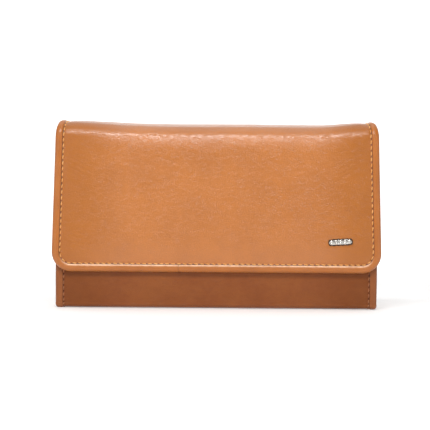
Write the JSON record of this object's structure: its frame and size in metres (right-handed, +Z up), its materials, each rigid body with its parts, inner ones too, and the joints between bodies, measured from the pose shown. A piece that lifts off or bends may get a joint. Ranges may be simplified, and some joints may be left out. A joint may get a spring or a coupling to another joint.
{
  "type": "long flap wallet",
  "caption": "Long leather wallet with a bound, stitched flap closed by a snap, over an accordion of pockets with a zipped coin pocket and card slots.",
  "frame": {"origin": "bottom centre of the closed wallet's bounding box, on the table", "axes": "+X along the length, +Z up, the flap faces -Y"},
  "size_m": [0.185, 0.0296, 0.105],
  "materials": {
    "leather": "satin tan calf leather",
    "leather_binding": "satin tan leather, rolled",
    "inner_leather": "matt tan leather",
    "lining": "woven lining",
    "board": "stiffener board",
    "thread": "waxed polyester thread",
    "zip_tape": "woven tape",
    "zip_coil": "nylon coil",
    "nickel": "polished nickel plate"
  },
  "bodies": {
    "pocket_core": {"base_leather": "leather", "base_board": "board", "base_lining": "lining", "coin_wall_front": "inner_leather", "coin_wall_back": "inner_leather", "coin_pocket_sides": "inner_leather", "zip_tape_front": "zip_tape", "zip_tape_back": "zip_tape", "zip_coil_front": "zip_coil", "zip_coil_back": "zip_coil", "zip_stops": "nickel", "front_gusset_left": "inner_leather", "front_gusset_right": "inner_leather", "back_gusset_left": "inner_leather", "back_gusset_right": "inner_leather"},
    "front_wall": {"front_leather": "leather", "front_board": "board", "front_lining": "lining", "front_binding": "leather_binding", "front_stitching": "thread", "snap_stud": "nickel", "snap_eyelet": "nickel"},
    "back_wall": {"back_leather": "leather", "back_board": "board", "back_lining": "lining", "back_binding": "leather_binding", "back_stitching": "thread", "card_pocket_high": "inner_leather", "card_pocket_mid": "inner_leather", "card_pocket_low": "inner_leather"},
    "top": {"top_leather": "leather", "top_interlining": "board", "top_lining": "lining", "top_binding": "leather_binding", "top_stitching": "thread"},
    "flap": {"flap_leather": "leather", "flap_board": "board", "flap_lining": "lining", "flap_lining_fold": "lining", "flap_binding_left": "leather_binding", "flap_binding_right": "leather_binding", "flap_binding_end": "leather_binding", "flap_stitching": "thread", "snap_cap": "nickel", "snap_socket": "nickel", "badge": "nickel"},
    "zip_slider": {"zip_slider": "nickel", "slider_pin": "nickel"},
    "zip_pull": {"pull_link": "nickel", "pull_tab": "leather_binding"}
  },
  "joints": [
    {"name": "front_wall_tilt", "type": "hinge", "parent": "pocket_core", "child": "front_wall", "pos_m": [0, -0.00931, 0.00064], "axis": [1, 0, 0], "range_deg": [0, 7.2], "deforming": ["front_gusset_left", "front_gusset_right"]},
    {"name": "back_wall_tilt", "type": "hinge", "parent": "pocket_core", "child": "back_wall", "pos_m": [0, 0.01371, 0.00064], "axis": [-1, 0, 0], "range_deg": [0, 4.5], "deforming": ["back_gusset_left", "back_gusset_right"]},
    {"name": "top_fold", "type": "hinge", "parent": "back_wall", "child": "top", "pos_m": [0, 0.01263, 0.10278], "axis": [-1, 0, 0], "range_deg": [0, 90]},
    {"name": "flap_fold", "type": "hinge", "parent": "top", "child": "flap", "pos_m": [0, -0.01213, 0.10278], "axis": [-1, 0, 0], "range_deg": [0, 90]},
    {"name": "zip_travel", "type": "slide", "parent": "pocket_core", "child": "zip_slider", "axis": [-1, 0, 0], "range_m": [0, 0.144]},
    {"name": "pull_swing", "type": "hinge", "parent": "zip_slider", "child": "zip_pull", "pos_m": [0.072, 0.00115, 0.0804], "axis": [0, 1, 0], "range_deg": [0, 168]}
  ],
  "couplings": [
    {"joint": "front_wall_tilt", "follows": "flap_fold", "ratio": 0.08},
    {"joint": "back_wall_tilt", "follows": "flap_fold", "ratio": 0.05}
  ]
}
